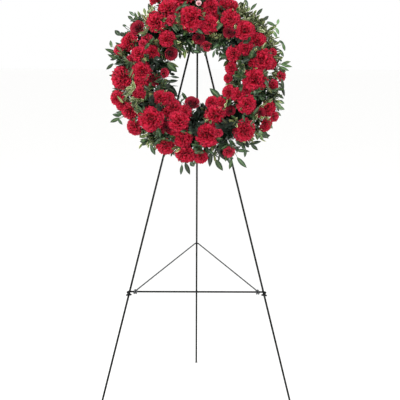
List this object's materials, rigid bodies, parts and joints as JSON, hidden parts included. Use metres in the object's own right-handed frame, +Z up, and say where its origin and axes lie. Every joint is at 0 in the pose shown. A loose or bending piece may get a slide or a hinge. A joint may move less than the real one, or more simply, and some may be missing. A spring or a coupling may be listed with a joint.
{
  "type": "funeral wreath on a wire easel",
  "caption": "Round standing wreath of red carnations and cut greens in a foam ring, hung on a folding three-legged wire easel.",
  "frame": {"origin": "on the floor, under the middle of the standing wreath's box", "axes": "+Z up, +X to the viewer's right, +Y away from the viewer towards the back leg"},
  "size_m": [0.6666, 0.5866, 1.4523],
  "materials": {
    "easel_wire": "charcoal painted steel wire",
    "bright_wire": "weathered galvanised steel wire",
    "tie_wire": "green lacquered florist's wire",
    "tray_plastic": "moulded dark green plastic",
    "wet_foam": "soaked green floral foam",
    "carnation_petals": "soft ruffled red petals",
    "rose_petals": "velvety dark red petals",
    "green_leaves": "waxy green leaves"
  },
  "bodies": {
    "stand": {"front_leg_left": "easel_wire", "front_leg_right": "easel_wire", "apex_rivet": "bright_wire", "crossbar": "easel_wire", "ring_hook": "easel_wire", "ring_tray": "tray_plastic", "foam_ring": "wet_foam", "tie_wire_left": "tie_wire", "tie_wire_right": "tie_wire", "carnation_01": "carnation_petals", "carnation_02": "carnation_petals", "carnation_03": "carnation_petals", "carnation_04": "carnation_petals", "carnation_05": "carnation_petals", "carnation_06": "carnation_petals", "carnation_07": "carnation_petals", "carnation_08": "carnation_petals", "carnation_09": "carnation_petals", "carnation_10": "carnation_petals", "carnation_11": "carnation_petals", "carnation_12": "carnation_petals", "carnation_13": "carnation_petals", "carnation_14": "carnation_petals", "carnation_15": "carnation_petals", "carnation_16": "carnation_petals", "carnation_17": "carnation_petals", "carnation_18": "carnation_petals", "carnation_19": "carnation_petals", "carnation_20": "carnation_petals", "carnation_21": "carnation_petals", "carnation_22": "carnation_petals", "carnation_23": "carnation_petals", "carnation_24": "carnation_petals", "carnation_25": "carnation_petals", "carnation_26": "carnation_petals", "carnation_27": "carnation_petals", "carnation_28": "carnation_petals", "carnation_29": "carnation_petals", "carnation_30": "carnation_petals", "carnation_31": "carnation_petals", "carnation_32": "carnation_petals", "carnation_33": "carnation_petals", "carnation_34": "carnation_petals", "carnation_35": "carnation_petals", "carnation_36": "carnation_petals", "sprig_01": "green_leaves", "sprig_02": "green_leaves", "sprig_03": "green_leaves", "sprig_04": "green_leaves", "sprig_05": "green_leaves", "sprig_06": "green_leaves", "sprig_07": "green_leaves", "sprig_08": "green_leaves", "sprig_09": "green_leaves", "sprig_10": "green_leaves", "sprig_11": "green_leaves", "sprig_12": "green_leaves"},
    "back_leg": {"back_leg": "easel_wire"},
    "brace": {"folding_brace": "bright_wire"}
  },
  "joints": [
    {"name": "back_leg_fold", "type": "hinge", "parent": "stand", "child": "back_leg", "pos_m": [0, -0.09849, 1.28516], "axis": [1, 0, 0], "range_deg": [-24, 0]},
    {"name": "brace_swing", "type": "hinge", "parent": "stand", "child": "brace", "pos_m": [0, -0.22145, 0.42871], "axis": [1, 0, 0], "range_deg": [0, 66]}
  ],
  "couplings": [
    {"joint": "brace_swing", "follows": "back_leg_fold", "ratio": -2.74}
  ]
}
